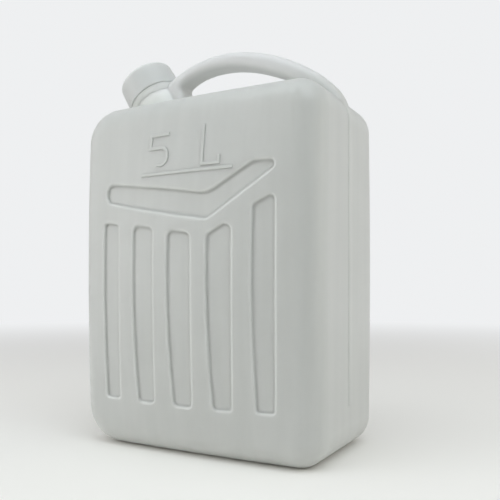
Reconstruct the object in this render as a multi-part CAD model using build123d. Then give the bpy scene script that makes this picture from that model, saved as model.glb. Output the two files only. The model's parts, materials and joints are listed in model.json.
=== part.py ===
from build123d import *
import math
import os

# Millimetres, +Z up, front towards -Y, base on Z = 0

# Moulded body
BODY_WIDTH = 196.0
BODY_HEIGHT = 254.0
RIM_DEPTH = 114.0
PILLOW_RISE = 11.5
WALL = 1.5
EDGE_RADIUS = 19.5
CORNER_TOP_LEFT = 27.0
CORNER_TOP_RIGHT = 20.5
CORNER_BOTTOM_LEFT = 29.0
CORNER_BOTTOM_RIGHT = 20.5
OVERRUN = 20.0

# Parting rib around the sides
RIB_WIDTH = 5.6
RIB_HEIGHT = 0.5
RIB_START = 36.0

# Recessed flutes and chevron on the broad faces
RELIEF_DEPTH = 2.0
RELIEF_DRAFT = 22.0
RELIEF_LAND = 4.0
RELIEF_LIP = 1.4
RELIEF_FLOOR = 0.6
FLUTE_COUNT = 5
FLUTE_PITCH = 31.5
FLUTE_WIDTH = 16.7
FLUTE_BOTTOM = 35.0
FLUTE_CORNER = 4.4
FLUTE_CHEVRON_GAP = 12.5
CHEVRON_VERTEX_X = 21.9
CHEVRON_VERTEX_Z = 163.9
CHEVRON_LEFT_X = -69.2
CHEVRON_RIGHT_X = 70.9
CHEVRON_LEFT_SLOPE_SHARE = -0.164
CHEVRON_RIGHT_SLOPE_SHARE = 0.602
CHEVRON_HEIGHT = 16.2
CHEVRON_CORNER = 7.0
CHEVRON_TIP_HEIGHT = 7.4
CHEVRON_TIP_CORNER = 4.3

# Neck, tilted towards -X
NECK_FOOT_SHARE = -0.59184
NECK_TILT = 31.6
NECK_WALL = 2.2
NECK_EDGE = 0.6
BORE_ROOT = 20.0
BOSS_STEP = 1.8
BOSS_RISE = 20.55
BOSS_EDGE = 1.2
BOSS_ROOT = 18.0

# Screw cap and its seal
CAP_RIM_GAP = 0.4
CAP_RIM_RADIUS = 23.3
CAP_TOP_RADIUS = 22.5
CAP_HEIGHT = 20.8
CAP_WALL = 1.9
CAP_TOP_THICKNESS = 2.0
CAP_TOP_EDGE = 1.2
CAP_RIM_EDGE = 0.5
THREAD_ROOM = 1.88
LINER_THICKNESS = 1.5
LINER_CLEARANCE = 0.3
LINER_SEAT_GAP = 0.05

# Hollow handle
HANDLE_RISE = 42.3
HANDLE_WIDTH = 20.0
HANDLE_TOP_ROUND = 6.0
HANDLE_UNDER_ROUND = 4.0
HANDLE_CAP_CLEARANCE = 1.2
HANDLE_CORNER = 3.0
HANDLE_OUTER_SHARES = (
    (-0.333, 0.875),
    (-0.044, 1.0),
    (0.313, 0.882),
    (0.646, 0.553),
    (0.878, 0.154),
    (0.98, -0.26),
    (1.0, -0.68),
    (0.985, -1.1),
)
HANDLE_UNDER_SHARES = (
    (0.714, -0.07),
    (0.618, 0.22),
    (0.448, 0.445),
    (0.146, 0.69),
    (-0.127, 0.742),
    (-0.318, 0.65),
    (-0.405, 0.54),
)
HANDLE_WEB_FOOT_SHARE = (-0.315, -0.35)
HANDLE_FOOT_SHARE = -0.5
HANDLE_END_SHARE = (-0.06, -1.0)

HALF_WIDTH = BODY_WIDTH / 2
MID_HEIGHT = BODY_HEIGHT / 2
HALF_DEPTH = RIM_DEPTH / 2 + PILLOW_RISE
TILT = math.radians(NECK_TILT)
AXIS = Vector(-math.sin(TILT), 0, math.cos(TILT))
ACROSS = Vector(math.cos(TILT), 0, math.sin(TILT))
NECK_FOOT = Vector(NECK_FOOT_SHARE * HALF_WIDTH, 0, BODY_HEIGHT)
CAP_RIM_RISE = BOSS_RISE + CAP_RIM_GAP
CAP_INSIDE = CAP_HEIGHT - CAP_TOP_THICKNESS
CAP_DRAFT_SHARE = (CAP_RIM_RADIUS - CAP_TOP_RADIUS) / CAP_HEIGHT
CAP_INNER_RIM = CAP_RIM_RADIUS - CAP_WALL
CAP_INNER_TOP = CAP_INNER_RIM - CAP_INSIDE * CAP_DRAFT_SHARE
LINER_RADIUS = CAP_INNER_TOP - LINER_CLEARANCE
NECK_RADIUS = CAP_INNER_TOP - THREAD_ROOM
NECK_BORE_RADIUS = NECK_RADIUS - NECK_WALL
BOSS_RADIUS = NECK_RADIUS + BOSS_STEP
NECK_TOP_RISE = CAP_RIM_RISE + CAP_INSIDE - LINER_SEAT_GAP - LINER_THICKNESS


def neck_plane(rise):
    """Plane square to the neck, a given way up its axis."""
    return Plane(origin=NECK_FOOT + AXIS * rise, x_dir=ACROSS, z_dir=AXIS)


def neck_disc(radius, low, high):
    """Round bar about the neck axis between two rises."""
    return extrude(neck_plane(low) * Circle(radius), amount=high - low)


def shifted(points, distance, closed=False):
    """Chain of points moved to its right-hand side by a distance."""
    last = len(points) - 1
    moved = []
    for index, (x, z) in enumerate(points):
        behind = points[index - 1]
        ahead = points[(index + 1) % len(points)]
        before = math.atan2(z - behind[1], x - behind[0])
        after = math.atan2(ahead[1] - z, ahead[0] - x)
        if not closed and index == 0:
            before = after
        if not closed and index == last:
            after = before
        half = math.remainder(after - before, math.tau) / 2
        reach = distance / math.cos(half)
        moved.append((x + reach * math.sin(before + half), z - reach * math.cos(before + half)))
    return moved


def rounded_face(points, radii):
    """Flat face through the points, each corner rounded by its own radius."""
    face = make_face(Polyline(*points, close=True))
    for point, radius in zip(points, radii):
        if radius:
            face = fillet(face.vertices().sort_by_distance(Vector(*point))[0], radius)
    return face


def front_outline(inset):
    """Rounded front outline of the body, drawn in from the outside by an inset."""
    left = inset - HALF_WIDTH
    right = HALF_WIDTH - inset
    low = inset
    high = BODY_HEIGHT - inset
    points = [(left, low), (right, low), (right, high), (left, high)]
    radii = [CORNER_BOTTOM_LEFT, CORNER_BOTTOM_RIGHT, CORNER_TOP_RIGHT, CORNER_TOP_LEFT]
    return Plane.XZ * rounded_face(points, [radius - inset for radius in radii])


def pillow_section(height, inset):
    """Level slice of the pillow, front and back bowed by the rise at that height."""
    rise = PILLOW_RISE * (1 - ((height - MID_HEIGHT) / MID_HEIGHT) ** 2)
    side = HALF_WIDTH + OVERRUN
    middle = RIM_DEPTH / 2 + rise - inset
    end = middle - rise * (side / HALF_WIDTH) ** 2
    lines = ThreePointArc((-side, -end), (0, -middle), (side, -end))
    lines += Line((side, -end), (side, end))
    lines += ThreePointArc((side, end), (0, middle), (-side, end))
    lines += Line((-side, end), (-side, -end))
    return Plane.XY.offset(height) * make_face(lines)


def pillow(inset):
    """Solid between the bowed front and back faces, drawn in by an inset."""
    heights = [-OVERRUN, MID_HEIGHT, BODY_HEIGHT + OVERRUN]
    return loft([pillow_section(height, inset) for height in heights])


def block(inset):
    """Rounded block of the body."""
    solid = extrude(front_outline(inset), amount=HALF_DEPTH, both=True) & pillow(inset)
    faces = solid.faces().sort_by(Axis.Y)
    return fillet(faces[0].edges() + faces[-1].edges(), EDGE_RADIUS - inset)


def chevron_lower(x):
    """Height of the chevron's lower edge at an X."""
    share = CHEVRON_LEFT_SLOPE_SHARE if x < CHEVRON_VERTEX_X else CHEVRON_RIGHT_SLOPE_SHARE
    return CHEVRON_VERTEX_Z + share * (x - CHEVRON_VERTEX_X)


def relief_outlines():
    """Corner points and corner radius of each recess, left to right, chevron last."""
    outlines = []
    for index in range(FLUTE_COUNT):
        middle = (index - (FLUTE_COUNT - 1) / 2) * FLUTE_PITCH
        left = middle - FLUTE_WIDTH / 2
        right = middle + FLUTE_WIDTH / 2
        top_left = chevron_lower(left) - FLUTE_CHEVRON_GAP
        top_right = chevron_lower(right) - FLUTE_CHEVRON_GAP
        points = [(left, FLUTE_BOTTOM), (right, FLUTE_BOTTOM), (right, top_right), (left, top_left)]
        outlines.append((points, [FLUTE_CORNER] * len(points)))
    left_low = chevron_lower(CHEVRON_LEFT_X)
    right_low = chevron_lower(CHEVRON_RIGHT_X)
    points = [
        (CHEVRON_LEFT_X, left_low),
        (CHEVRON_VERTEX_X, CHEVRON_VERTEX_Z),
        (CHEVRON_RIGHT_X, right_low),
        (CHEVRON_RIGHT_X, right_low + CHEVRON_TIP_HEIGHT),
        (CHEVRON_RIGHT_X - CHEVRON_HEIGHT, right_low + CHEVRON_TIP_HEIGHT),
        (CHEVRON_VERTEX_X, CHEVRON_VERTEX_Z + CHEVRON_HEIGHT),
        (CHEVRON_LEFT_X, left_low + CHEVRON_HEIGHT),
    ]
    end = [CHEVRON_TIP_CORNER, CHEVRON_TIP_CORNER, CHEVRON_CORNER]
    radii = [CHEVRON_CORNER, CHEVRON_TIP_CORNER] + end + [CHEVRON_HEIGHT, CHEVRON_CORNER]
    outlines.append((points, radii))
    return outlines


def relief_tools(inset):
    """Drafted blocks that press the recesses into the front, then into the back."""
    plane = Plane(origin=(0, -HALF_DEPTH, 0), x_dir=(1, 0, 0), z_dir=(0, 1, 0))
    draft = math.radians(RELIEF_DRAFT)
    spread = RELIEF_LAND * math.tan(draft) + inset / math.cos(draft)
    reach = PILLOW_RISE + RELIEF_DEPTH + inset
    floor = pillow(RELIEF_DEPTH + inset)
    tools = []
    for points, radii in relief_outlines():
        grown = shifted(points, spread, closed=True)
        corners = [radius and radius + spread for radius in radii]
        face = rounded_face([(x, -z) for x, z in grown], corners)
        tools.append(extrude(plane * face, amount=reach, taper=RELIEF_DRAFT) - floor)
    return tools + [mirror(tool, about=Plane.XZ) for tool in tools]


def share_point(share):
    """Point in the middle plane from shares of the half width and the handle's rise."""
    return (share[0] * HALF_WIDTH, BODY_HEIGHT + share[1] * HANDLE_RISE)


def handle_band(inset):
    """Handle as seen from the front, its ends buried in the body."""
    root = NECK_FOOT + AXIS * BOSS_RISE
    edge = root + ACROSS * (CAP_RIM_RADIUS + HANDLE_CAP_CLEARANCE)
    outer = [share_point(share) for share in HANDLE_OUTER_SHARES]
    outer = shifted([(root.X, root.Z), (edge.X, edge.Z)] + outer, inset)
    under = [share_point(share) for share in HANDLE_UNDER_SHARES]
    under = shifted(under + [share_point(HANDLE_WEB_FOOT_SHARE)], inset)
    foot = (HANDLE_FOOT_SHARE * HALF_WIDTH, under[-1][1])
    inside = (under[0][0], outer[-1][1])
    lines = Line(outer[0], outer[1])
    lines += Spline(*outer[1:], tangents=[(ACROSS.X, ACROSS.Z), HANDLE_END_SHARE])
    lines += Polyline(outer[-1], inside, under[0])
    lines += Spline(*under[:-1])
    lines += Line(under[-2], under[-1])
    lines += Polyline(under[-1], foot, outer[0])
    face = make_face(lines)
    corner = face.vertices().sort_by_distance(Vector(*under[-2]))[0]
    return Plane.XZ * fillet(corner, HANDLE_CORNER + inset)


def handle(inset):
    """Handle bar with a rounded back and a tighter underside, drawn in by an inset."""
    bar = extrude(handle_band(inset), amount=HANDLE_WIDTH / 2 - inset, both=True)
    curves = bar.faces().filter_by(Axis.Y).edges().filter_by(GeomType.BSPLINE)
    curves = curves.sort_by(lambda curve: curve.bounding_box().max.Z)
    bar = fillet(curves[-2:], HANDLE_TOP_ROUND - inset)
    curves = bar.faces().filter_by(Axis.Y).edges().filter_by(GeomType.BSPLINE)
    curves = curves.sort_by(lambda curve: curve.bounding_box().max.Z)
    return fillet(curves[:2], HANDLE_UNDER_ROUND - inset)


def parting_rib():
    """Low rib left along the mould's parting plane."""
    slab = extrude(front_outline(-RIB_HEIGHT), amount=RIB_WIDTH / 2, both=True)
    room = Box(
        BODY_WIDTH + OVERRUN,
        RIM_DEPTH,
        BODY_HEIGHT,
        align=(Align.CENTER, Align.CENTER, Align.MIN),
    )
    return slab & Pos(0, 0, RIB_START) * room


def soften(solid):
    """Round the floors and then the lips of the recesses."""
    broad = [face for face in solid.faces() if abs(face.normal_at(face.center()).Y) > math.cos(TILT)]
    floors = [face.outer_wire() for face in broad if not face.inner_wires()]
    solid = fillet([edge for wire in floors for edge in wire.edges()], RELIEF_FLOOR)
    lips = [wire for face in solid.faces() for wire in face.inner_wires()]
    return fillet([edge for wire in lips for edge in wire.edges()], RELIEF_LIP)


def build_body():
    """Hollow moulded can with its neck and handle."""
    skin = block(0)
    for tool in relief_tools(0):
        skin = skin - tool
    skin = soften(skin)
    boss = fillet(
        neck_disc(BOSS_RADIUS, -BOSS_ROOT, BOSS_RISE).edges().group_by(Axis(NECK_FOOT, AXIS))[-1],
        BOSS_EDGE,
    )
    neck = fillet(
        neck_disc(NECK_RADIUS, 0, NECK_TOP_RISE).edges().group_by(Axis(NECK_FOOT, AXIS))[-1],
        NECK_EDGE,
    )
    outside = skin + parting_rib() + handle(0) + boss + neck
    cavity = block(WALL)
    for tool in relief_tools(WALL):
        cavity = cavity - tool
    hollow = handle(WALL) - neck_disc(BOSS_RADIUS, -BOSS_ROOT, BOSS_RISE)
    bore = neck_disc(NECK_BORE_RADIUS, -BORE_ROOT, NECK_TOP_RISE + WALL)
    return outside - (cavity + hollow + bore)


def build_cap():
    """Smooth tapered screw cap."""
    outside = neck_plane(CAP_RIM_RISE) * Cone(
        CAP_RIM_RADIUS, CAP_TOP_RADIUS, CAP_HEIGHT, align=(Align.CENTER, Align.CENTER, Align.MIN)
    )
    rings = outside.edges().filter_by(GeomType.CIRCLE).sort_by(Axis(NECK_FOOT, AXIS))
    outside = fillet(rings[-1], CAP_TOP_EDGE)
    rings = outside.edges().filter_by(GeomType.CIRCLE).sort_by(Axis(NECK_FOOT, AXIS))
    outside = fillet(rings[0], CAP_RIM_EDGE)
    inside = neck_plane(CAP_RIM_RISE) * Cone(
        CAP_INNER_RIM, CAP_INNER_TOP, CAP_INSIDE, align=(Align.CENTER, Align.CENTER, Align.MIN)
    )
    return outside - inside


def build_liner():
    """Soft sealing disc inside the cap."""
    return neck_disc(LINER_RADIUS, NECK_TOP_RISE, NECK_TOP_RISE + LINER_THICKNESS)


os.makedirs("parts", exist_ok=True)
export_step(build_body(), "parts/can_body.step")
export_step(build_cap(), "parts/screw_cap.step")
export_step(build_liner(), "parts/cap_liner.step")
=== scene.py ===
import json
import logging
import math
from dataclasses import dataclass, field, replace
from enum import Enum

import bpy
from mathutils import Matrix, Vector


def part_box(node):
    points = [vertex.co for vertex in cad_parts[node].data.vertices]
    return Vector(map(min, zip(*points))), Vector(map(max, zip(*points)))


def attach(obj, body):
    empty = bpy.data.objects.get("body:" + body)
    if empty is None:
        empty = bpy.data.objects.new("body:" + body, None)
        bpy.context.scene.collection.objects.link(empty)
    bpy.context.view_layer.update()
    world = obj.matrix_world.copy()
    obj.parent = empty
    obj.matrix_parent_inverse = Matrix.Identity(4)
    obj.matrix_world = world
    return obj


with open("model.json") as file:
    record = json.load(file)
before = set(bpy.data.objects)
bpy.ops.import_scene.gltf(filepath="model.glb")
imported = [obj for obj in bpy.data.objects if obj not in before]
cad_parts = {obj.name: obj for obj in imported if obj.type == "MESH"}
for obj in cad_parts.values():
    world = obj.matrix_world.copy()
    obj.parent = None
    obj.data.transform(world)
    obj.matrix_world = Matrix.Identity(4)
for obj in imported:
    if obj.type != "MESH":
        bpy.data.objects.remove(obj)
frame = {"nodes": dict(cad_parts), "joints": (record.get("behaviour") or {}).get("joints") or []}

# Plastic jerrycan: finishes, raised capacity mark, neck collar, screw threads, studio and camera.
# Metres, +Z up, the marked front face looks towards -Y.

LOG = logging.getLogger("jerrycan")
QUARTER_TURN = math.pi / 2
Colour = tuple[float, float, float, float]
Triple = tuple[float, float, float]
Point = tuple[float, float]


class Heading(Enum):
    """Way that a stroke of the mark goes, as X and Z seen from the front."""

    LEFT = (-1.0, 0.0)
    RIGHT = (1.0, 0.0)
    UP = (0.0, 1.0)
    DOWN = (0.0, -1.0)

    def vector(self) -> Vector:
        """Return the heading as a direction in the shared frame."""
        return Vector((self.value[0], 0.0, self.value[1]))


class Side(Enum):
    """Side of a round wall that a thread's ridge grows to."""

    OUTWARDS = 1.0
    INWARDS = -1.0


class End(Enum):
    """End of the collar, by the way that it faces along the neck."""

    TOP = 1.0
    FOOT = -1.0


def deselect_all() -> None:
    """Leave edit mode and clear the selection."""
    if bpy.context.object and bpy.context.object.mode != "OBJECT":
        bpy.ops.object.mode_set(mode="OBJECT")
    bpy.ops.object.select_all(action="DESELECT")


def pick(piece: bpy.types.Object) -> None:
    """Select one piece alone and make it the active one.

    Args:
        piece: Object that the next operators act on.
    """
    deselect_all()
    piece.select_set(True)
    bpy.context.view_layer.objects.active = piece


def apply_modifiers(piece: bpy.types.Object) -> None:
    """Apply every modifier of a piece.

    Args:
        piece: Object whose modifiers become part of its mesh.
    """
    pick(piece)
    for modifier in list(piece.modifiers):
        bpy.ops.object.modifier_apply(modifier=modifier.name)


def settle(piece: bpy.types.Object, place: Matrix) -> None:
    """Move a piece to its place and keep that place in its mesh.

    Args:
        piece: Object made at the origin.
        place: Matrix from the piece's own frame to the shared frame.
    """
    pick(piece)
    piece.matrix_world = place
    bpy.ops.object.transform_apply(location=True, rotation=True, scale=True)


def close_and_orient(piece: bpy.types.Object, merge: float) -> None:
    """Merge doubles, close open ends and turn the faces outwards.

    Args:
        piece: Mesh object to mend.
        merge: Distance under which points are one.
    """
    pick(piece)
    bpy.ops.object.mode_set(mode="EDIT")
    bpy.ops.mesh.select_all(action="SELECT")
    bpy.ops.mesh.remove_doubles(threshold=merge)
    bpy.ops.mesh.fill_holes(sides=0)
    bpy.ops.mesh.select_all(action="SELECT")
    bpy.ops.mesh.normals_make_consistent(inside=False)
    bpy.ops.object.mode_set(mode="OBJECT")


def round_edges(piece: bpy.types.Object, width: float, segments: int, degrees: float) -> None:
    """Round the edges of a piece that are sharper than an angle.

    Args:
        piece: Mesh object to round.
        width: Width of the rounding.
        segments: Faces across the rounding.
        degrees: Angle over which an edge is rounded.
    """
    bevel = piece.modifiers.new("soft_edges", "BEVEL")
    bevel.width = width
    bevel.segments = segments
    bevel.limit_method = "ANGLE"
    bevel.angle_limit = math.radians(degrees)
    apply_modifiers(piece)


def smooth(piece: bpy.types.Object, degrees: float) -> None:
    """Shade a piece smooth, but for edges sharper than an angle."""
    pick(piece)
    bpy.ops.object.shade_smooth_by_angle(angle=math.radians(degrees))


def select_edge(mesh: bpy.types.Mesh, ends: set[int]) -> None:
    """Select the one edge of a mesh that joins two points.

    Args:
        mesh: Mesh in object mode.
        ends: Numbers of the edge's two points.
    """
    for polygon in mesh.polygons:
        polygon.select = False
    for edge in mesh.edges:
        edge.select = set(edge.vertices) == ends
    for vertex in mesh.vertices:
        vertex.select = vertex.index in ends


@dataclass(frozen=True)
class SkinGroup:
    """Shared skin of blown and moulded polyethylene: clouding, streaks, a painted glow above a set
    height and a fine grain.
    """

    name: str = "moulded_skin"
    cloud_scale: float = 14.0
    cloud_detail: float = 3.0
    streak_scale: float = 110.0
    streak_detail: float = 2.0
    streak_stretch: Triple = (1.0, 1.0, 0.06)
    streak_share: float = 0.6
    grain_scale: float = 900.0
    grain_detail: float = 2.0

    def tree(self) -> bpy.types.NodeTree:
        """Return the node group, made on first use.

        Returns:
            Group with Color, Roughness and Height outputs.
        """
        if self.name in bpy.data.node_groups:
            return bpy.data.node_groups[self.name]
        tree = bpy.data.node_groups.new(self.name, "ShaderNodeTree")
        self._sockets(tree)
        nodes, links = tree.nodes, tree.links
        entry = nodes.new("NodeGroupInput")
        leave = nodes.new("NodeGroupOutput")
        place = nodes.new("ShaderNodeTexCoord").outputs["Object"]
        stretch = nodes.new("ShaderNodeMapping")
        stretch.inputs["Scale"].default_value = self.streak_stretch
        links.new(place, stretch.inputs["Vector"])
        cloud = self._noise(tree, place, self.cloud_scale, self.cloud_detail)
        streak = self._noise(tree, stretch.outputs["Vector"], self.streak_scale, self.streak_detail)
        grain = self._noise(tree, place, self.grain_scale, self.grain_detail)
        blend = nodes.new("ShaderNodeMix")
        blend.data_type = "FLOAT"
        blend.inputs["Factor"].default_value = self.streak_share
        links.new(cloud, blend.inputs["A"])
        links.new(streak, blend.inputs["B"])
        tint = nodes.new("ShaderNodeMix")
        tint.data_type = "RGBA"
        links.new(blend.outputs["Result"], tint.inputs["Factor"])
        links.new(entry.outputs["Clear"], tint.inputs["A"])
        links.new(entry.outputs["Milky"], tint.inputs["B"])
        # Painted glow: above a set height the colour turns to the lighter top glow colour. It stands in
        # for light shining through the plastic at the handle and neck.
        axes = nodes.new("ShaderNodeSeparateXYZ")
        links.new(place, axes.inputs["Vector"])
        rise = nodes.new("ShaderNodeMapRange")
        rise.interpolation_type = "SMOOTHSTEP"
        links.new(axes.outputs["Z"], rise.inputs["Value"])
        links.new(entry.outputs["Top Glow From"], rise.inputs["From Min"])
        links.new(entry.outputs["Top Glow To"], rise.inputs["From Max"])
        # Painted glow mix: the top glow colour laid over the clouded colour above the glow height.
        top_glow_mix = nodes.new("ShaderNodeMix")
        top_glow_mix.data_type = "RGBA"
        links.new(rise.outputs["Result"], top_glow_mix.inputs["Factor"])
        links.new(tint.outputs["Result"], top_glow_mix.inputs["A"])
        links.new(entry.outputs["Top Glow"], top_glow_mix.inputs["B"])
        sheen = nodes.new("ShaderNodeMapRange")
        links.new(cloud, sheen.inputs["Value"])
        links.new(entry.outputs["Roughness Low"], sheen.inputs["To Min"])
        links.new(entry.outputs["Roughness High"], sheen.inputs["To Max"])
        links.new(top_glow_mix.outputs["Result"], leave.inputs["Color"])
        links.new(sheen.outputs["Result"], leave.inputs["Roughness"])
        links.new(grain, leave.inputs["Height"])
        return tree

    @staticmethod
    def _sockets(tree: bpy.types.NodeTree) -> None:
        """Give the group its named inputs and outputs.

        Args:
            tree: New and empty group.
        """
        for label, way, kind in (
            ("Clear", "INPUT", "NodeSocketColor"),
            ("Milky", "INPUT", "NodeSocketColor"),
            ("Top Glow", "INPUT", "NodeSocketColor"),
            ("Top Glow From", "INPUT", "NodeSocketFloat"),
            ("Top Glow To", "INPUT", "NodeSocketFloat"),
            ("Roughness Low", "INPUT", "NodeSocketFloat"),
            ("Roughness High", "INPUT", "NodeSocketFloat"),
            ("Color", "OUTPUT", "NodeSocketColor"),
            ("Roughness", "OUTPUT", "NodeSocketFloat"),
            ("Height", "OUTPUT", "NodeSocketFloat"),
        ):
            tree.interface.new_socket(name=label, in_out=way, socket_type=kind)

    @staticmethod
    def _noise(
        tree: bpy.types.NodeTree, place: bpy.types.NodeSocket, scale: float, detail: float
    ) -> bpy.types.NodeSocket:
        """Add a noise texture.

        Args:
            tree: Group that the texture goes in.
            place: Coordinates that it is read at.
            scale: Fineness of the noise.
            detail: Finer layers over the first.

        Returns:
            The texture's value.
        """
        node = tree.nodes.new("ShaderNodeTexNoise")
        node.inputs["Scale"].default_value = scale
        node.inputs["Detail"].default_value = detail
        tree.links.new(place, node.inputs["Vector"])
        return node.outputs["Fac"]


@dataclass(frozen=True)
class PlasticFinish:
    """Satin polyethylene finish, lighter above a set height at the handle and the neck: painted glow of
    light shining through the plastic.
    """

    name: str
    clear: Colour
    milky: Colour
    top_glow: Colour
    roughness_low: float
    roughness_high: float
    subsurface: float
    subsurface_depth: float
    bump: float
    edge_softness: float
    # Heights over which the painted top glow fades in.
    top_glow_from: float = 0.256
    top_glow_to: float = 0.282
    grain_height: float = 0.00003
    edge_samples: int = 8
    refraction: float = 1.5
    scatter: Triple = (0.97, 0.97, 0.97)

    def material(self) -> bpy.types.Material:
        """Return the material, made on first use.

        Returns:
            Node material that any piece of this finish may share.
        """
        if self.name in bpy.data.materials:
            return bpy.data.materials[self.name]
        material = bpy.data.materials.new(self.name)
        material.use_nodes = True
        nodes, links = material.node_tree.nodes, material.node_tree.links
        shader = nodes["Principled BSDF"]
        skin = nodes.new("ShaderNodeGroup")
        skin.node_tree = SkinGroup().tree()
        for label, value in (
            ("Clear", self.clear),
            ("Milky", self.milky),
            ("Top Glow", self.top_glow),
            ("Top Glow From", self.top_glow_from),
            ("Top Glow To", self.top_glow_to),
            ("Roughness Low", self.roughness_low),
            ("Roughness High", self.roughness_high),
        ):
            skin.inputs[label].default_value = value
        edge = nodes.new("ShaderNodeBevel")
        edge.samples = self.edge_samples
        edge.inputs["Radius"].default_value = self.edge_softness
        bump = nodes.new("ShaderNodeBump")
        bump.inputs["Strength"].default_value = self.bump
        bump.inputs["Distance"].default_value = self.grain_height
        links.new(edge.outputs["Normal"], bump.inputs["Normal"])
        links.new(skin.outputs["Height"], bump.inputs["Height"])
        links.new(skin.outputs["Color"], shader.inputs["Base Color"])
        links.new(skin.outputs["Roughness"], shader.inputs["Roughness"])
        links.new(bump.outputs["Normal"], shader.inputs["Normal"])
        shader.inputs["IOR"].default_value = self.refraction
        shader.inputs["Subsurface Weight"].default_value = self.subsurface
        shader.inputs["Subsurface Radius"].default_value = self.scatter
        shader.inputs["Subsurface Scale"].default_value = self.subsurface_depth
        return material

    def dress(self, piece: bpy.types.Object) -> None:
        """Give a piece this finish in its only material slot."""
        piece.data.materials.clear()
        piece.data.materials.append(self.material())


NATURAL_BODY = PlasticFinish(
    name="natural_blown_polyethylene",
    clear=(0.562, 0.583, 0.552, 1.0),
    milky=(0.660, 0.674, 0.640, 1.0),
    # Painted glow: a much lighter colour on the handle and neck, standing in for light shining through
    # the thin plastic.
    top_glow=(0.86, 0.872, 0.855, 1.0),
    roughness_low=0.30,
    roughness_high=0.42,
    subsurface=1.0,
    subsurface_depth=0.009,
    bump=0.25,
    edge_softness=0.0036,
)
RAISED_MARK = replace(
    NATURAL_BODY,
    name="natural_raised_mark",
    # Painted glow on the neck collar and the neck thread, which stand above the glow height.
    top_glow=(0.82, 0.835, 0.815, 1.0),
    subsurface=0.55,
    bump=0.2,
    edge_softness=0.0006,
)
WHITE_CAP = PlasticFinish(
    name="white_moulded_polyethylene",
    clear=(0.535, 0.552, 0.538, 1.0),
    milky=(0.595, 0.606, 0.590, 1.0),
    # The cap's top glow colour is about its own tone, so no light is painted on the cap.
    top_glow=(0.57, 0.585, 0.572, 1.0),
    roughness_low=0.28,
    roughness_high=0.38,
    subsurface=1.0,
    subsurface_depth=0.008,
    bump=0.2,
    edge_softness=0.0015,
)
FOAM_LINER = PlasticFinish(
    name="foamed_liner",
    clear=(0.74, 0.74, 0.71, 1.0),
    milky=(0.82, 0.82, 0.80, 1.0),
    top_glow=(0.82, 0.82, 0.80, 1.0),
    roughness_low=0.65,
    roughness_high=0.85,
    subsurface=0.2,
    subsurface_depth=0.002,
    bump=0.8,
    edge_softness=0.0004,
)


@dataclass
class Stroke:
    """Raised flat stroke on the front face, drawn as a ribbon and then given its height."""

    name: str
    width: float
    height: float
    front: float
    root: float = 0.0003
    bow_steps: int = 10
    cuts: int = 3
    merge_parts: int = 50
    edge_segments: int = 3
    edge_angle: float = 50.0
    smooth_angle: float = 60.0
    piece: bpy.types.Object = field(init=False)

    def start(self, at: Point, along: Heading) -> None:
        """Add the ribbon's first short square and select the side that it goes on from.

        Args:
            at: X and Z of the stroke's start.
            along: Way that the stroke sets out.
        """
        deselect_all()
        bpy.ops.mesh.primitive_plane_add(size=self.width, location=(0, 0, 0))
        self.piece = bpy.context.object
        self.piece.name = self.name
        heading = math.atan2(along.value[1], along.value[0])
        flat = Matrix.Rotation(QUARTER_TURN, 4, "X") @ Matrix.Rotation(heading, 4, "Z")
        settle(self.piece, Matrix.Translation((at[0], self.front, at[1])) @ flat)
        self.corner(along)
        bpy.ops.mesh.select_mode(type="EDGE")

    def corner(self, ahead: Heading) -> None:
        """Go on from the side of the last square that looks ahead.

        Args:
            ahead: Way that the stroke goes on.
        """
        bpy.ops.object.mode_set(mode="OBJECT")
        mesh = self.piece.data
        last = mesh.polygons[len(mesh.polygons) - 1]
        way = ahead.vector()
        best = max(last.edge_keys, key=lambda key: sum(way.dot(mesh.vertices[i].co) for i in key))
        select_edge(mesh, set(best))
        bpy.ops.object.mode_set(mode="EDIT")

    def run(self, by: Point) -> None:
        """Extrude the selected end straight on by a step in X and Z."""
        bpy.ops.mesh.extrude_region_move(TRANSFORM_OT_translate={"value": (by[0], 0.0, by[1])})

    def bow(self, centre: Point, degrees: float) -> None:
        """Spin the selected end clockwise about a centre.

        Args:
            centre: X and Z of the arc's centre.
            degrees: How far the stroke turns, seen from the front.
        """
        bpy.ops.mesh.spin(
            steps=self.bow_steps,
            angle=-math.radians(degrees),
            center=(centre[0], self.front, centre[1]),
            axis=(0.0, 1.0, 0.0),
        )

    def finish(self, soft: float) -> bpy.types.Object:
        """Lay the ribbon on the bowed face, then give it its height and soft edges.

        Args:
            soft: Width of the rounding along its edges.

        Returns:
            The finished raised stroke.
        """
        merge = self.width / self.merge_parts
        bpy.ops.mesh.select_all(action="SELECT")
        bpy.ops.mesh.remove_doubles(threshold=merge)
        bpy.ops.mesh.subdivide(number_cuts=self.cuts)
        bpy.ops.object.mode_set(mode="OBJECT")
        lay = self.piece.modifiers.new("lie_on_face", "SHRINKWRAP")
        lay.target = frame["nodes"]["can_body"]
        lay.wrap_method = "PROJECT"
        lay.use_project_y = True
        lay.use_positive_direction = True
        lay.use_negative_direction = False
        apply_modifiers(self.piece)
        bpy.ops.object.mode_set(mode="EDIT")
        bpy.ops.mesh.select_all(action="SELECT")
        bpy.ops.transform.translate(value=(0.0, self.root, 0.0))
        bpy.ops.mesh.extrude_region_move(
            TRANSFORM_OT_translate={"value": (0.0, -self.root - self.height, 0.0)}
        )
        bpy.ops.object.mode_set(mode="OBJECT")
        close_and_orient(self.piece, merge)
        round_edges(self.piece, soft, self.edge_segments, self.edge_angle)
        smooth(self.piece, self.smooth_angle)
        return self.piece


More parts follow.
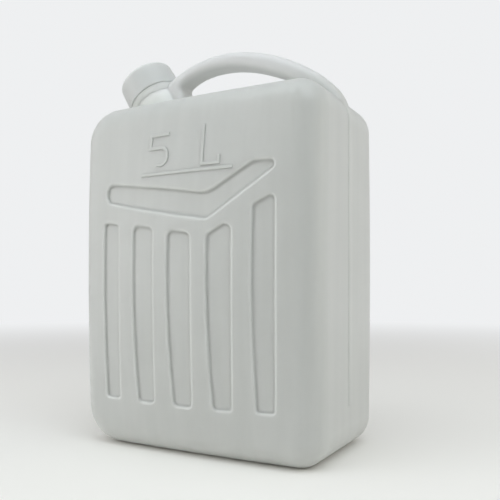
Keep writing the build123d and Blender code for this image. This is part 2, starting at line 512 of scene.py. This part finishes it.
@dataclass
class CapacityMark:
    """Plain raised litre mark and the bar under it."""

    front: float
    stroke: float = 0.0023
    height: float = 0.0006
    soft: float = 0.0008
    five_left: float = -0.0256
    five_right: float = -0.0120
    five_top: float = 0.2243
    five_shoulder: float = 0.2160
    bowl_radius: float = 0.0064
    bowl_drop: float = 0.0016
    bowl_upper_turn: float = 90.0
    bowl_lower_turn: float = 130.0
    letter_x: float = 0.0172
    letter_top: float = 0.2261
    letter_foot: float = 0.2014
    letter_reach: float = 0.0128
    letter_serif: float = 0.0042
    bar_left: float = -0.0322
    bar_right: float = 0.0396
    bar_z: float = 0.1965

    def build(self) -> list[bpy.types.Object]:
        """Model the numeral, the letter and the bar.

        Returns:
            The three raised pieces.
        """
        return [self._five(), self._letter(), self._bar()]

    def _stroke(self, name: str) -> Stroke:
        """Return a stroke of the mark's own width and height."""
        return Stroke(name=name, width=self.stroke, height=self.height, front=self.front)

    def _five(self) -> bpy.types.Object:
        """Model the numeral from a flag, a stem and a bowl.

        Returns:
            The raised numeral.
        """
        stroke = self._stroke("mark_numeral")
        half = self.stroke / 2
        stroke.start((self.five_right, self.five_top), Heading.LEFT)
        stroke.run((self.five_left - self.five_right + half, 0.0))
        stroke.run((-self.stroke, 0.0))
        stroke.corner(Heading.DOWN)
        stroke.run((0.0, self.five_shoulder - self.five_top + half))
        stroke.run((0.0, -self.stroke))
        stroke.corner(Heading.RIGHT)
        middle = self.five_right - self.bowl_radius + half
        stroke.run((middle - self.five_left - half, 0.0))
        upper = self.five_shoulder - self.bowl_radius
        stroke.bow((middle, upper), self.bowl_upper_turn)
        stroke.run((0.0, -self.bowl_drop))
        stroke.bow((middle, upper - self.bowl_drop), self.bowl_lower_turn)
        return stroke.finish(self.soft)

    def _letter(self) -> bpy.types.Object:
        """Model the letter from a stem, a foot and a small upturned end.

        Returns:
            The raised letter.
        """
        stroke = self._stroke("mark_letter")
        half = self.stroke / 2
        stroke.start((self.letter_x, self.letter_top), Heading.DOWN)
        stroke.run((0.0, self.letter_foot - self.letter_top + half))
        stroke.run((0.0, -self.stroke))
        stroke.corner(Heading.RIGHT)
        stroke.run((self.letter_reach - self.stroke, 0.0))
        stroke.run((self.stroke, 0.0))
        stroke.corner(Heading.UP)
        stroke.run((0.0, self.letter_serif))
        return stroke.finish(self.soft)

    def _bar(self) -> bpy.types.Object:
        """Model the bar under the mark.

        Returns:
            The raised bar.
        """
        stroke = self._stroke("mark_bar")
        stroke.start((self.bar_left, self.bar_z), Heading.RIGHT)
        stroke.run((self.bar_right - self.bar_left, 0.0))
        return stroke.finish(self.soft)

    def dress(self, pieces: list[bpy.types.Object]) -> None:
        """Finish the mark as the body it is moulded in.

        Args:
            pieces: Raised pieces of the mark.
        """
        for piece in pieces:
            RAISED_MARK.dress(piece)
            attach(piece, "can")


@dataclass(frozen=True)
class NeckFrame:
    """Axis of the neck, from the level of the cap's rim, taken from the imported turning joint."""

    foot: Vector
    axis: Vector

    @classmethod
    def from_record(cls) -> "NeckFrame":
        """Return the frame of the cap's turning joint."""
        joint = next(item for item in frame["joints"] if item["name"] == "cap_turn")
        return cls(Vector(joint["pos_m"]), Vector(joint["axis"]).normalized())

    def matrix(self) -> Matrix:
        """Return the matrix from a frame along +Z to the neck."""
        turn = Vector((0.0, 0.0, 1.0)).rotation_difference(self.axis).to_matrix().to_4x4()
        return Matrix.Translation(self.foot) @ turn


@dataclass(frozen=True)
class ScrewThread:
    """Single-start right-hand thread ridge on a round wall."""

    name: str
    wall_radius: float
    depth: float
    root_width: float
    crest_width: float
    turns: float
    phase: float
    side: Side
    sink: float
    start: float = 0.0048
    pitch: float = 0.006
    steps: int = 56
    merge_parts: int = 100
    smooth_angle: float = 40.0

    def build(self, neck: NeckFrame) -> bpy.types.Object:
        """Model the ridge by screwing its section up the neck.

        Args:
            neck: Frame of the neck.

        Returns:
            The thread as one closed piece.
        """
        piece = self._section()
        screw = piece.modifiers.new("thread", "SCREW")
        screw.axis = "Z"
        screw.angle = math.tau * self.turns
        screw.screw_offset = self.pitch * self.turns
        screw.steps = round(self.steps * self.turns)
        screw.render_steps = screw.steps
        screw.use_merge_vertices = False
        apply_modifiers(piece)
        close_and_orient(piece, self.crest_width / self.merge_parts)
        settle(piece, neck.matrix() @ Matrix.Rotation(self.phase, 4, "Z"))
        smooth(piece, self.smooth_angle)
        return piece

    def _section(self) -> bpy.types.Object:
        """Model the outline of the ridge, wide at its root and narrow at its crest.

        Returns:
            Open outline that stands on the wall.
        """
        root = self.wall_radius - self.side.value * self.sink
        crest = self.wall_radius + self.side.value * self.depth
        deselect_all()
        bpy.ops.mesh.primitive_plane_add(size=self.root_width, location=(0, 0, 0))
        piece = bpy.context.object
        piece.name = self.name
        stand = Matrix.Rotation(QUARTER_TURN, 4, "X")
        reach = Matrix.Diagonal((abs(crest - root) / self.root_width, 1.0, 1.0, 1.0))
        settle(piece, Matrix.Translation(((crest + root) / 2, 0.0, self.start)) @ stand @ reach)
        bpy.ops.object.mode_set(mode="EDIT")
        bpy.ops.mesh.select_mode(type="VERT")
        bpy.ops.mesh.select_all(action="DESELECT")
        bpy.ops.object.mode_set(mode="OBJECT")
        for vertex in piece.data.vertices:
            vertex.select = abs(vertex.co.x - crest) < abs(vertex.co.x - root)
        bpy.ops.object.mode_set(mode="EDIT")
        bpy.ops.transform.resize(value=(1.0, 1.0, self.crest_width / self.root_width))
        bpy.ops.mesh.select_all(action="SELECT")
        bpy.ops.mesh.delete(type="ONLY_FACE")
        bpy.ops.object.mode_set(mode="OBJECT")
        return piece


NECK_THREAD = ScrewThread(
    name="neck_thread",
    wall_radius=0.018797,
    depth=0.0013,
    root_width=0.0026,
    crest_width=0.0012,
    turns=1.6,
    phase=0.0,
    side=Side.OUTWARDS,
    sink=0.0004,
)
CAP_THREAD = ScrewThread(
    name="cap_thread",
    wall_radius=0.0208,
    depth=0.0014,
    root_width=0.0022,
    crest_width=0.0010,
    turns=1.5,
    phase=math.pi,
    side=Side.INWARDS,
    sink=0.0003,
)


@dataclass(frozen=True)
class NeckCollar:
    """Flared collar that the neck's boss carries under the cap's rim."""

    top: float = -0.0001
    top_radius: float = 0.0227
    foot_radius: float = 0.0204
    bore_radius: float = 0.0177
    depth: float = 0.0050
    rounding: float = 0.0005
    sides: int = 128
    level_share: float = 0.9
    merge_parts: int = 50
    edge_segments: int = 4
    edge_angle: float = 30.0
    smooth_angle: float = 40.0

    def build(self, neck: NeckFrame) -> bpy.types.Object:
        """Model the collar from a round block that is opened along its axis.

        Args:
            neck: Frame of the neck.

        Returns:
            The collar as one closed ring.
        """
        deselect_all()
        bpy.ops.mesh.primitive_cylinder_add(
            vertices=self.sides,
            radius=self.top_radius,
            depth=self.depth,
            location=(0.0, 0.0, self.top - self.depth / 2),
        )
        piece = bpy.context.object
        piece.name = "neck_collar"
        bpy.ops.object.transform_apply(location=True, rotation=True, scale=True)
        bpy.ops.object.mode_set(mode="EDIT")
        bpy.ops.mesh.select_mode(type="FACE")
        self._select_ends(piece, End.FOOT)
        narrow = self.foot_radius / self.top_radius
        bpy.ops.transform.resize(value=(narrow, narrow, 1.0))
        for end, radius in ((End.TOP, self.top_radius), (End.FOOT, self.foot_radius)):
            self._select_ends(piece, end)
            bpy.ops.mesh.inset(thickness=radius - self.bore_radius, depth=0.0)
        self._select_ends(piece, End.TOP, End.FOOT)
        bpy.ops.mesh.bridge_edge_loops()
        bpy.ops.object.mode_set(mode="OBJECT")
        close_and_orient(piece, self.rounding / self.merge_parts)
        round_edges(piece, self.rounding, self.edge_segments, self.edge_angle)
        settle(piece, neck.matrix())
        smooth(piece, self.smooth_angle)
        return piece

    def _select_ends(self, piece: bpy.types.Object, *ends: End) -> None:
        """Select the round faces at some of the block's ends.

        Args:
            piece: Block in edit mode.
            ends: Ends to select.
        """
        bpy.ops.mesh.select_all(action="DESELECT")
        bpy.ops.object.mode_set(mode="OBJECT")
        for polygon in piece.data.polygons:
            level = any(polygon.normal.z * end.value > self.level_share for end in ends)
            polygon.select = level and len(polygon.vertices) == self.sides
        bpy.ops.object.mode_set(mode="EDIT")


@dataclass
class CanBody:
    """Blown body with its capacity mark, and the thread and collar on its neck."""

    neck: NeckFrame
    thread: ScrewThread = NECK_THREAD
    collar: NeckCollar = NeckCollar()

    def build(self) -> list[bpy.types.Object]:
        """Add what stands out from the body.

        Returns:
            Raised mark pieces, the neck thread and the collar.
        """
        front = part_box("can_body")[0][1]
        mark = CapacityMark(front=front)
        pieces = mark.build()
        mark.dress(pieces)
        trim = [self.thread.build(self.neck), self.collar.build(self.neck)]
        # The collar and the neck thread take the mark finish's painted top glow.
        for piece in trim:
            RAISED_MARK.dress(piece)
            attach(piece, "can")
        return pieces + trim

    def dress(self) -> None:
        """Finish the moulded shell."""
        NATURAL_BODY.dress(frame["nodes"]["can_body"])


@dataclass
class CapAndLiner:
    """Screw cap with its inner thread, and the sealing liner."""

    neck: NeckFrame
    thread: ScrewThread = CAP_THREAD

    def build(self) -> list[bpy.types.Object]:
        """Add the thread inside the cap.

        Returns:
            The cap's thread.
        """
        thread = self.thread.build(self.neck)
        WHITE_CAP.dress(thread)
        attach(thread, "cap")
        return [thread]

    def dress(self) -> None:
        """Finish the cap and the liner."""
        WHITE_CAP.dress(frame["nodes"]["screw_cap"])
        FOAM_LINER.dress(frame["nodes"]["cap_liner"])


PLAIN_LIGHT: Triple = (1.0, 1.0, 1.0)
COOL_LIGHT: Triple = (0.88, 0.96, 1.0)
WARM_LIGHT: Triple = (1.0, 0.97, 0.88)


@dataclass(frozen=True)
class SoftBox:
    """Large soft lamp aimed at the can."""

    name: str
    azimuth: float
    elevation: float
    watts: float
    tint: Triple
    distance: float = 1.2
    size: float = 0.8

    def build(self, target: Vector) -> bpy.types.Object:
        """Add the lamp.

        Args:
            target: Point that the lamp faces.

        Returns:
            The lamp.
        """
        turn, rise = math.radians(self.azimuth), math.radians(self.elevation)
        level = math.cos(rise)
        way = Vector((math.sin(turn) * level, -math.cos(turn) * level, math.sin(rise)))
        data = bpy.data.lights.new(self.name, "AREA")
        data.shape = "SQUARE"
        data.size = self.size
        data.energy = self.watts
        data.color = self.tint
        lamp = bpy.data.objects.new(self.name, data)
        lamp.visible_camera = False
        lamp.location = target + way * self.distance
        lamp.rotation_euler = (-way).to_track_quat("-Z", "Y").to_euler()
        bpy.context.scene.collection.objects.link(lamp)
        return lamp


SOFT_BOXES = (
    SoftBox("lamp_far_left", azimuth=-65.0, elevation=12.0, watts=1.6, tint=PLAIN_LIGHT),
    SoftBox("lamp_left", azimuth=-35.0, elevation=12.0, watts=2.3, tint=PLAIN_LIGHT),
    SoftBox("lamp_front", azimuth=0.0, elevation=12.0, watts=0.6, tint=WARM_LIGHT),
    SoftBox("lamp_right", azimuth=110.0, elevation=12.0, watts=2.1, tint=WARM_LIGHT),
    SoftBox("lamp_back_right", azimuth=150.0, elevation=12.0, watts=0.8, tint=PLAIN_LIGHT),
    SoftBox("lamp_high_left", azimuth=-20.0, elevation=50.0, watts=1.8, tint=COOL_LIGHT),
    SoftBox("lamp_high_right", azimuth=60.0, elevation=50.0, watts=4.2, tint=COOL_LIGHT),
    SoftBox("lamp_top", azimuth=-10.0, elevation=80.0, watts=2.4, tint=COOL_LIGHT),
)


@dataclass
class Studio:
    """Pale floor, soft lamps, even sky and the camera."""

    floor_radius: float = 4.0
    floor_sides: int = 96
    floor_roughness: float = 0.7
    floor_colour: Colour = (0.86, 0.845, 0.815, 1.0)
    backdrop_colour: Colour = (0.86, 0.87, 0.88, 1.0)
    fade_start: float = 0.30
    fade_end: float = 1.8
    sky_colour: Colour = (1.0, 1.0, 1.0, 1.0)
    sky_strength: float = 0.50
    camera_place: Triple = (0.2441, -0.4079, 0.1176)
    camera_azimuth: float = 28.94
    camera_lens: float = 44.29
    camera_sensor: float = 36.0
    camera_lift: float = 0.0751
    camera_near: float = 0.01
    target_height: float = 0.13

    def build(self) -> None:
        """Set up the whole studio."""
        self._floor()
        for box in SOFT_BOXES:
            box.build(Vector((0.0, 0.0, self.target_height)))
        self._sky()
        self._camera()
        bpy.context.scene.view_settings.view_transform = "Standard"

    def _floor(self) -> None:
        """Lay a round pale floor that fades into the backdrop."""
        deselect_all()
        bpy.ops.mesh.primitive_circle_add(
            vertices=self.floor_sides, radius=self.floor_radius, fill_type="NGON"
        )
        floor = bpy.context.object
        floor.name = "studio_floor"
        material = bpy.data.materials.new("pale_floor")
        material.use_nodes = True
        nodes, links = material.node_tree.nodes, material.node_tree.links
        shader = nodes["Principled BSDF"]
        shader.inputs["Base Color"].default_value = self.floor_colour
        shader.inputs["Roughness"].default_value = self.floor_roughness
        glow = nodes.new("ShaderNodeEmission")
        glow.inputs["Color"].default_value = self.backdrop_colour
        place = nodes.new("ShaderNodeTexCoord")
        reach = nodes.new("ShaderNodeVectorMath")
        reach.operation = "LENGTH"
        links.new(place.outputs["Object"], reach.inputs[0])
        fade = nodes.new("ShaderNodeMapRange")
        fade.interpolation_type = "SMOOTHSTEP"
        fade.inputs["From Min"].default_value = self.fade_start
        fade.inputs["From Max"].default_value = self.fade_end
        links.new(reach.outputs["Value"], fade.inputs["Value"])
        share = nodes.new("ShaderNodeMath")
        share.operation = "MULTIPLY"
        links.new(fade.outputs["Result"], share.inputs[0])
        links.new(self._seen(material.node_tree), share.inputs[1])
        mix = nodes.new("ShaderNodeMixShader")
        links.new(share.outputs["Value"], mix.inputs["Fac"])
        links.new(shader.outputs["BSDF"], mix.inputs[1])
        links.new(glow.outputs["Emission"], mix.inputs[2])
        links.new(mix.outputs["Shader"], nodes["Material Output"].inputs["Surface"])
        floor.data.materials.append(material)

    @staticmethod
    def _seen(tree: bpy.types.NodeTree) -> bpy.types.NodeSocket:
        """Tell the rays that see the backdrop from those that carry light.

        Args:
            tree: Node tree of the floor's material.

        Returns:
            Socket that is 1 for camera, glossy and transmitted rays.
        """
        path = tree.nodes.new("ShaderNodeLightPath")
        seen = path.outputs["Is Camera Ray"]
        for ray in ("Is Glossy Ray", "Is Transmission Ray"):
            either = tree.nodes.new("ShaderNodeMath")
            either.operation = "MAXIMUM"
            tree.links.new(seen, either.inputs[0])
            tree.links.new(path.outputs[ray], either.inputs[1])
            seen = either.outputs["Value"]
        return seen

    def _sky(self) -> None:
        """Light evenly from all round and show the backdrop colour to the camera."""
        world = bpy.data.worlds.new("studio_sky")
        world.use_nodes = True
        bpy.context.scene.world = world
        nodes, links = world.node_tree.nodes, world.node_tree.links
        light = nodes["Background"]
        light.inputs["Color"].default_value = self.sky_colour
        light.inputs["Strength"].default_value = self.sky_strength
        show = nodes.new("ShaderNodeBackground")
        show.inputs["Color"].default_value = self.backdrop_colour
        path = nodes.new("ShaderNodeLightPath")
        mix = nodes.new("ShaderNodeMixShader")
        links.new(path.outputs["Is Camera Ray"], mix.inputs["Fac"])
        links.new(light.outputs["Background"], mix.inputs[1])
        links.new(show.outputs["Background"], mix.inputs[2])
        links.new(mix.outputs["Shader"], nodes["World Output"].inputs["Surface"])

    def _camera(self) -> None:
        """Stand the camera where the photograph was taken from."""
        data = bpy.data.cameras.new("camera")
        data.lens = self.camera_lens
        data.sensor_width = self.camera_sensor
        data.shift_y = self.camera_lift
        data.clip_start = self.camera_near
        camera = bpy.data.objects.new("camera", data)
        camera.location = self.camera_place
        camera.rotation_euler = (QUARTER_TURN, 0.0, math.radians(self.camera_azimuth))
        bpy.context.scene.collection.objects.link(camera)
        bpy.context.scene.camera = camera


def main() -> None:
    """Build the can, its cap and the studio in order."""
    logging.basicConfig(level=logging.INFO, format="%(name)s %(message)s")
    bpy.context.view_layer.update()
    neck = NeckFrame.from_record()
    for assembly in (CanBody(neck), CapAndLiner(neck)):
        for piece in assembly.build():
            LOG.info("%s: %d faces", piece.name, len(piece.data.polygons))
        assembly.dress()
    Studio().build()


if __name__ == "__main__":
    main()
